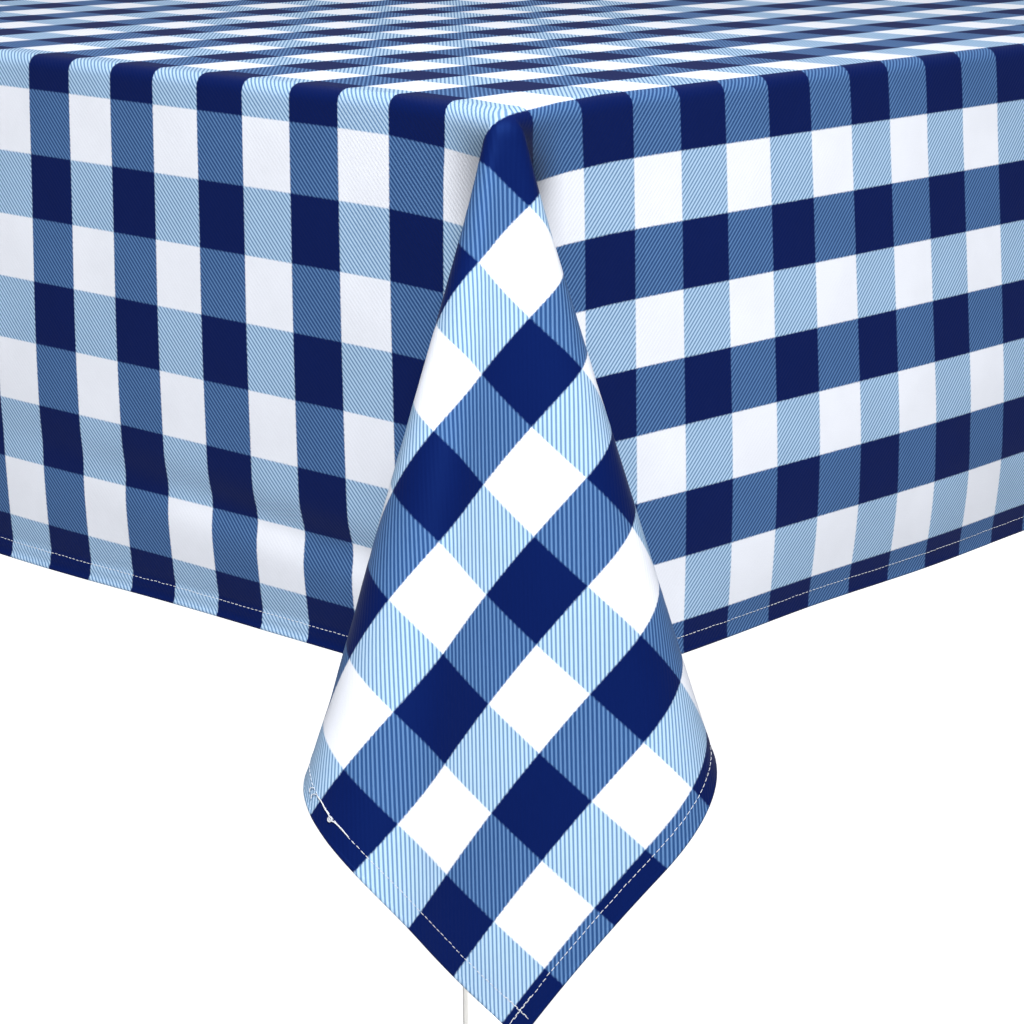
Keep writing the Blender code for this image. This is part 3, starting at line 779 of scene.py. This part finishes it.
def knot_piece():
    """All strands of the knot in one mesh, each closed at both ends."""
    strands = knot_strands()
    faces = []
    for k, points in enumerate(strands):
        sides, low_cap, high_cap = tube_faces(POINTS_ROUND, len(points) // POINTS_ROUND)
        offset = k * len(points)
        faces += (sides + offset).tolist() + [(low_cap + offset).tolist(), (high_cap + offset).tolist()]
    return mesh_object("seam_knot", np.concatenate(strands), faces)


seam_knot = knot_piece()
put_on_body(seam_knot, "cloth", "white_thread")

# %% [markdown]
# ## Checked twill
# The pattern is woven, not printed: navy and white yarns run in bands both ways. Where
# navy crosses navy the cloth is navy, where white crosses white it is white, and where
# they cross each other both show as fine slanting lines, because in a twill each yarn
# passes over two and under one. Lengthwise yarns cover more than crosswise ones, so one
# mixed square is mostly white and the other mostly navy. All of it is worked out from the
# cloth's own measure in checks, so the lines bend with every fold.

# %% Small helpers for node trees
def start_material(name, constants=()):
    """A new material, its node tree and its Principled shader with some inputs set."""
    made = bpy.data.materials.new(name)
    made.use_nodes = True
    shader = made.node_tree.nodes["Principled BSDF"]
    for title, value in dict(constants).items():
        shader.inputs[title].default_value = value
    return made, made.node_tree, shader


def node(tree, kind, inputs=(), **settings):
    """Add a node, set its settings, and give its inputs numbers, colours or links from other sockets."""
    added = tree.nodes.new(kind)
    for key, value in settings.items():
        setattr(added, key, value)
    for key, value in dict(inputs).items():
        if isinstance(value, bpy.types.NodeSocket):
            tree.links.new(value, added.inputs[key])
        else:
            added.inputs[key].default_value = value
    return added


def calc(tree, operation, *values, clamp=False):
    """One Math node: the operation's name, then its numbers or sockets. Gives the result's socket."""
    made = node(tree, "ShaderNodeMath", dict(enumerate(values)), operation=operation, use_clamp=clamp)
    return made.outputs[0]


def noise(tree, place, scale, detail=2.0):
    """One Noise Texture node at a place, with its scale and its number of finer layers."""
    inputs = {"Vector": place, "Scale": scale, "Detail": detail}
    return node(tree, "ShaderNodeTexNoise", inputs).outputs[0]


def ramp(tree, value, low, high):
    """A soft step of a value from 0 at low to 1 at high."""
    inputs = {"Value": value, "From Min": low, "From Max": high}
    return node(tree, "ShaderNodeMapRange", inputs, interpolation_type="SMOOTHSTEP").outputs[0]


def mixed(tree, share, first, second, kind="MIX"):
    """One colour to another by a share between 0 and 1. A Mix node's colours are its sockets 6 and 7."""
    inputs = {0: share, 6: first, 7: second}
    return node(tree, "ShaderNodeMix", inputs, data_type="RGBA", blend_type=kind).outputs[2]


def set_surface(tree, shader, colour, rough, height, strength, distance):
    """Give a Principled shader its colour and roughness, and a height as bump, in metres of real depth."""
    tree.links.new(colour, shader.inputs["Base Color"])
    tree.links.new(rough, shader.inputs["Roughness"])
    bump = node(tree, "ShaderNodeBump", {"Height": height, "Strength": strength, "Distance": distance})
    tree.links.new(bump.outputs[0], shader.inputs["Normal"])


def start_group(name, inputs, outputs):
    """An empty shader node group with named sockets, and its two ends."""
    group = bpy.data.node_groups.new(name, "ShaderNodeTree")
    for title, kind, value in inputs:
        socket = group.interface.new_socket(title, in_out="INPUT", socket_type=f"NodeSocket{kind}")
        if value is not None:
            socket.default_value = value
    for title, kind in outputs:
        group.interface.new_socket(title, in_out="OUTPUT", socket_type=f"NodeSocket{kind}")
    return group, node(group, "NodeGroupInput").outputs, node(group, "NodeGroupOutput").inputs


# %% The check and its twill
NAVY = (0.0024, 0.0088, 0.074, 1)
WHITE = (0.79, 0.815, 0.885, 1)
PALE_YARN = (0.42, 0.588, 0.775, 1)
PALE_LINE = (0.132, 0.243, 0.42, 1)
DEEP_YARN = (0.100, 0.205, 0.41, 1)
DEEP_LINE = (0.024, 0.068, 0.19, 1)
TWILL_LINES = 12


def make_check_group():
    """Bands from the two measures: each is navy where the whole number below it is even, which a ping-pong
    of the measure tells, with a slightly ragged border. Twill lines are a cosine of their difference."""
    group, given, give = start_group(
        "woven_check",
        [("Measure", "Vector", None), ("Lines per check", "Float", float(TWILL_LINES))],
        [("Color", "Color"), ("Height", "Float")],
    )
    axes = node(group, "ShaderNodeSeparateXYZ", {"Vector": given["Measure"]})
    wobble = noise(group, given["Measure"], 24.0, 1.0)
    ragged = calc(group, "MULTIPLY", calc(group, "SUBTRACT", wobble, 0.5), 0.03)
    navy = []
    for axis in (0, 1):
        value = calc(group, "ADD", calc(group, "ADD", axes.outputs[axis], 1.0), ragged)
        fold = calc(group, "PINGPONG", calc(group, "ADD", value, 0.5), 1.0)
        navy.append(ramp(group, fold, 0.515, 0.485))
    across = calc(group, "SUBTRACT", axes.outputs[0], axes.outputs[1])
    across = calc(group, "MULTIPLY", across, given["Lines per check"])
    wave = calc(group, "COSINE", calc(group, "MULTIPLY", across, 2 * np.pi))
    pale = mixed(group, ramp(group, wave, -0.75, 0.35), PALE_LINE, PALE_YARN)
    deep = mixed(group, ramp(group, wave, -0.35, 0.75), DEEP_LINE, DEEP_YARN)
    on_navy_row = mixed(group, navy[0], deep, NAVY)
    on_white_row = mixed(group, navy[0], WHITE, pale)
    colour = mixed(group, navy[1], on_white_row, on_navy_row)
    group.links.new(colour, give["Color"])
    group.links.new(wave, give["Height"])
    return group


woven_check = make_check_group()
TWILL_SHINE = {
    "Specular IOR Level": 0.17, "Specular Tint": (0.08, 0.26, 1.0, 1),
    "Sheen Weight": 0.012, "Sheen Roughness": 0.4, "Sheen Tint": (0.7, 0.75, 1.0, 1),
}


def make_cloth_material():
    """The check, a little unevenness of dye, the twill's ribs as bump, and a soft fibre sheen."""
    made, tree, shader = start_material("checked_twill", TWILL_SHINE)
    measure = node(tree, "ShaderNodeUVMap", uv_map="checks").outputs[0]
    check = node(tree, "ShaderNodeGroup", {"Measure": measure}, node_tree=woven_check)
    cloudy = noise(tree, measure, 0.8, 4.0)
    fibre = noise(tree, measure, 60.0)
    uneven = calc(tree, "MULTIPLY_ADD", ramp(tree, cloudy, 0.3, 0.7), 0.05, 0.95)
    uneven = calc(tree, "MULTIPLY_ADD", calc(tree, "SUBTRACT", fibre, 0.5), 0.12, uneven)
    grey = node(tree, "ShaderNodeCombineColor", {0: uneven, 1: uneven, 2: uneven}).outputs[0]
    colour = mixed(tree, 1.0, check.outputs["Color"], grey, "MULTIPLY")
    rib = calc(tree, "MULTIPLY_ADD", check.outputs["Height"], 0.5, calc(tree, "MULTIPLY", fibre, 0.8))
    rough = calc(tree, "MULTIPLY_ADD", fibre, 0.15, 0.42)
    set_surface(tree, shader, colour, rough, rib, 0.35, 0.00012)
    return made


checked_twill = make_cloth_material()
for piece in (tablecloth, *hems.values()):
    piece.data.materials.append(checked_twill)

# %% Sewing thread
def make_thread_material():
    """Two plies of off-white thread: slanting waves across the stitch, and a slight variation of tone."""
    made, tree, shader = start_material("sewing_thread")
    place = node(tree, "ShaderNodeTexCoord").outputs["Object"]
    ply = node(tree, "ShaderNodeTexWave", {"Vector": place, "Scale": 900.0, "Distortion": 1.5})
    tone = noise(tree, place, 240.0)
    colour = mixed(tree, tone, (0.70, 0.71, 0.72, 1), (0.50, 0.53, 0.60, 1))
    rough = calc(tree, "MULTIPLY_ADD", tone, 0.2, 0.5)
    set_surface(tree, shader, colour, rough, ply.outputs["Fac"], 0.3, 0.00005)
    return made


sewing_thread = make_thread_material()
for stitches in (*seams.values(), seam_knot):
    stitches.data.materials.append(sewing_thread)

# %% [markdown]
# ## The table's own finishes
# The table underneath is painted wood with metal and plastic hardware. It hardly shows,
# but a lifted cloth uncovers it. Two effects are shared by several finishes, so each is a
# node group, built once: wear, which finds edges by comparing the true surface direction
# with one rounded over a small radius, and grain, which is a noise stretched along the
# wood.

# %% Wear and grain
def make_wear_group():
    """One minus how well the rounded and the true direction agree, broken up by noise: 1 on a worn edge."""
    group, given, give = start_group(
        "edge_wear",
        [("Place", "Vector", None), ("Radius", "Float", 0.0012), ("Amount", "Float", 1.0)],
        [("Wear", "Float")],
    )
    rounded = node(group, "ShaderNodeBevel", {"Radius": given["Radius"]}, samples=4)
    true = node(group, "ShaderNodeNewGeometry")
    both = {0: rounded.outputs[0], 1: true.outputs["Normal"]}
    same = node(group, "ShaderNodeVectorMath", both, operation="DOT_PRODUCT")
    patchy = noise(group, given["Place"], 70.0, 5.0)
    edge = ramp(group, same.outputs["Value"], 0.995, 0.86)
    broken = calc(group, "MULTIPLY", edge, ramp(group, patchy, 0.42, 0.62))
    group.links.new(calc(group, "MULTIPLY", broken, given["Amount"], clamp=True), give["Wear"])
    return group


def make_grain_group():
    """Noise stretched along one direction, fine for pores and coarse for the wide tone of the board."""
    group, given, give = start_group(
        "wood_grain",
        [("Place", "Vector", None), ("Stretch", "Vector", (1.0, 1.0, 0.06)), ("Scale", "Float", 160.0)],
        [("Pores", "Float"), ("Tone", "Float")],
    )
    long = node(group, "ShaderNodeVectorMath", {0: given["Place"], 1: given["Stretch"]}, operation="MULTIPLY")
    pores = noise(group, long.outputs[0], given["Scale"], 6.0)
    tone = noise(group, long.outputs[0], calc(group, "MULTIPLY", given["Scale"], 0.12), 3.0)
    group.links.new(pores, give["Pores"])
    group.links.new(tone, give["Tone"])
    return group


edge_wear = make_wear_group()
wood_grain = make_grain_group()


def worn_edges(tree, place, radius):
    """The wear group placed in a material, with the radius that its edges are rounded over."""
    inputs = {"Place": place, "Radius": radius}
    return node(tree, "ShaderNodeGroup", inputs, node_tree=edge_wear).outputs["Wear"]


def grain_of(tree, place, scale, stretch=(1.0, 1.0, 0.06)):
    """The grain group placed in a material, stretched along the direction with the smallest number."""
    inputs = {"Place": place, "Scale": scale, "Stretch": stretch}
    return node(tree, "ShaderNodeGroup", inputs, node_tree=wood_grain).outputs


# %% Painted wood and bare beech
def make_white_paint():
    """Satin white paint: faint brushed grain under it, a little yellowing, and bare wood on worn edges."""
    made, tree, shader = start_material("white_paint_brushed")
    place = node(tree, "ShaderNodeTexCoord").outputs["Object"]
    grain = grain_of(tree, place, 220.0)
    worn = worn_edges(tree, place, 0.0015)
    paint = mixed(tree, grain["Tone"], (0.83, 0.82, 0.79, 1), (0.74, 0.73, 0.70, 1))
    colour = mixed(tree, worn, paint, (0.50, 0.34, 0.20, 1))
    rough = calc(tree, "MULTIPLY_ADD", grain["Pores"], 0.18, 0.30)
    rough = calc(tree, "MULTIPLY_ADD", worn, 0.3, rough)
    set_surface(tree, shader, colour, rough, calc(tree, "SUBTRACT", grain["Pores"], worn), 0.25, 0.0003)
    return made


def make_beech():
    """Pale pink-brown beech with darker flecks along the grain."""
    made, tree, shader = start_material("bare_beech")
    place = node(tree, "ShaderNodeTexCoord").outputs["Object"]
    grain = grain_of(tree, place, 300.0, (0.25, 0.25, 1.0))
    base = mixed(tree, grain["Tone"], (0.62, 0.40, 0.24, 1), (0.47, 0.29, 0.16, 1))
    fleck = ramp(tree, grain["Pores"], 0.58, 0.68)
    colour = mixed(tree, fleck, base, (0.30, 0.17, 0.09, 1))
    rough = calc(tree, "MULTIPLY_ADD", grain["Pores"], 0.25, 0.42)
    set_surface(tree, shader, colour, rough, grain["Pores"], 0.3, 0.0002)
    return made


# %% Metal and plastic
def make_metal(name, bright, dull, rough):
    """Plated or turned metal: cloudy tone, finer scratches in the roughness, and brighter worn edges."""
    made, tree, shader = start_material(name, {"Metallic": 1.0})
    place = node(tree, "ShaderNodeTexCoord").outputs["Object"]
    cloud = noise(tree, place, 260.0, 6.0)
    inputs = {"Vector": place, "Scale": 420.0, "Distortion": 9.0, "Detail": 3.0}
    scratch = node(tree, "ShaderNodeTexWave", inputs).outputs["Fac"]
    worn = worn_edges(tree, place, 0.0004)
    colour = mixed(tree, ramp(tree, cloud, 0.35, 0.7), bright, dull)
    colour = mixed(tree, worn, colour, (0.86, 0.86, 0.84, 1))
    change = calc(tree, "MULTIPLY", scratch, cloud)
    set_surface(tree, shader, colour, calc(tree, "MULTIPLY_ADD", change, 0.22, rough), change, 0.15, 0.0001)
    return made


def make_plastic():
    """Moulded grey plastic with a fine spark-eroded texture and scuffed edges."""
    made, tree, shader = start_material("moulded_grey_plastic")
    place = node(tree, "ShaderNodeTexCoord").outputs["Object"]
    fine = noise(tree, place, 1800.0)
    dusty = noise(tree, place, 90.0, 4.0)
    worn = worn_edges(tree, place, 0.0008)
    base = mixed(tree, ramp(tree, dusty, 0.4, 0.75), (0.16, 0.165, 0.17, 1), (0.25, 0.25, 0.245, 1))
    colour = mixed(tree, worn, base, (0.38, 0.38, 0.37, 1))
    set_surface(tree, shader, colour, calc(tree, "MULTIPLY_ADD", dusty, 0.3, 0.38), fine, 0.35, 0.00015)
    return made


# %% Give every carried-over part its finish
FINISHES = {
    "white_paint": make_white_paint(),
    "beech": make_beech(),
    "zinc_steel": make_metal("zinc_plated_steel", (0.62, 0.65, 0.68, 1), (0.42, 0.44, 0.46, 1), 0.30),
    "brass": make_metal("turned_brass", (0.80, 0.60, 0.28, 1), (0.58, 0.40, 0.16, 1), 0.24),
    "grey_plastic": make_plastic(),
    "check_cloth": checked_twill,
    "white_thread": sewing_thread,
}
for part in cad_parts.values():
    for held in part.material_slots:
        held.material = FINISHES[held.material.name.split(".")[0]]
print("finishes given to", len(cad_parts), "carried-over parts")

# %% [markdown]
# ## Floor and light
# A pale floor and soft light from large lamps keep every shadow gentle. The main lamp
# stands above the camera, so the near fold is the brightest part and both sides fall
# slightly darker. A narrow low lamp lights the near leg, which stands behind the fold's
# tip and would darken the background there. The floor and the background glow for the
# camera only, so they stay white without washing out the cloth.

# %% Floor
FLOOR_HEIGHT = -0.0082


def make_floor():
    """A wide pale floor, just below the feet when they are screwed right out, so that no pose pushes them
    through it. It glows, as a lit studio sweep does, but gives little of that light back to the cloth."""
    bpy.ops.mesh.primitive_plane_add(size=14, location=(0, 0, FLOOR_HEIGHT))
    floor = bpy.context.object
    floor.name = "floor"
    pale = {"Base Color": (0.5, 0.5, 0.5, 1), "Roughness": 0.9, "Emission Color": (1, 1, 1, 1)}
    made, tree, shader = start_material("pale_floor", pale)
    seen = node(tree, "ShaderNodeLightPath").outputs["Is Camera Ray"]
    tree.links.new(calc(tree, "MULTIPLY_ADD", seen, 0.9, 0.1), shader.inputs["Emission Strength"])
    floor.data.materials.append(made)


make_floor()

# %% Lamps
def lamp(name, kind, place, target, power, **settings):
    """A lamp of a kind at a place, facing a target, with the other settings of that kind."""
    data = bpy.data.lights.new(name, kind)
    data.energy = power
    for key, value in settings.items():
        setattr(data, key, value)
    obj = bpy.data.objects.new(name, data)
    obj.location = place
    obj.rotation_euler = (Vector(target) - Vector(place)).to_track_quat("-Z", "Y").to_euler()
    scene.collection.objects.link(obj)
    return obj


lamp("main_lamp", "AREA", (-1.34, -1.40, 2.12), (-0.43, -0.43, 0.6), 72, size=0.7)
lamp("top_lamp", "AREA", (0.3, 0.2, 3.0), (0, 0, 0.7), 16, size=2.4)
beam = {"spot_size": np.radians(18), "spot_blend": 0.35, "shadow_soft_size": 0.03}
leg_lamp = lamp("leg_lamp", "SPOT", (-0.98, -0.92, 0.03), (-0.39, -0.39, 0.272), 50, **beam)
leg_lamp.visible_camera = False

# %% The glow behind everything
world = bpy.data.worlds.new("studio")
world.use_nodes = True
background = world.node_tree.nodes["Background"]
background.inputs["Color"].default_value = (0.95, 0.97, 1, 1)
seen = node(world.node_tree, "ShaderNodeLightPath").outputs["Is Camera Ray"]
glow = calc(world.node_tree, "MULTIPLY_ADD", seen, 0.80, 0.20)
world.node_tree.links.new(glow, background.inputs["Strength"])
scene.world = world
scene.view_settings.view_transform = "Standard"
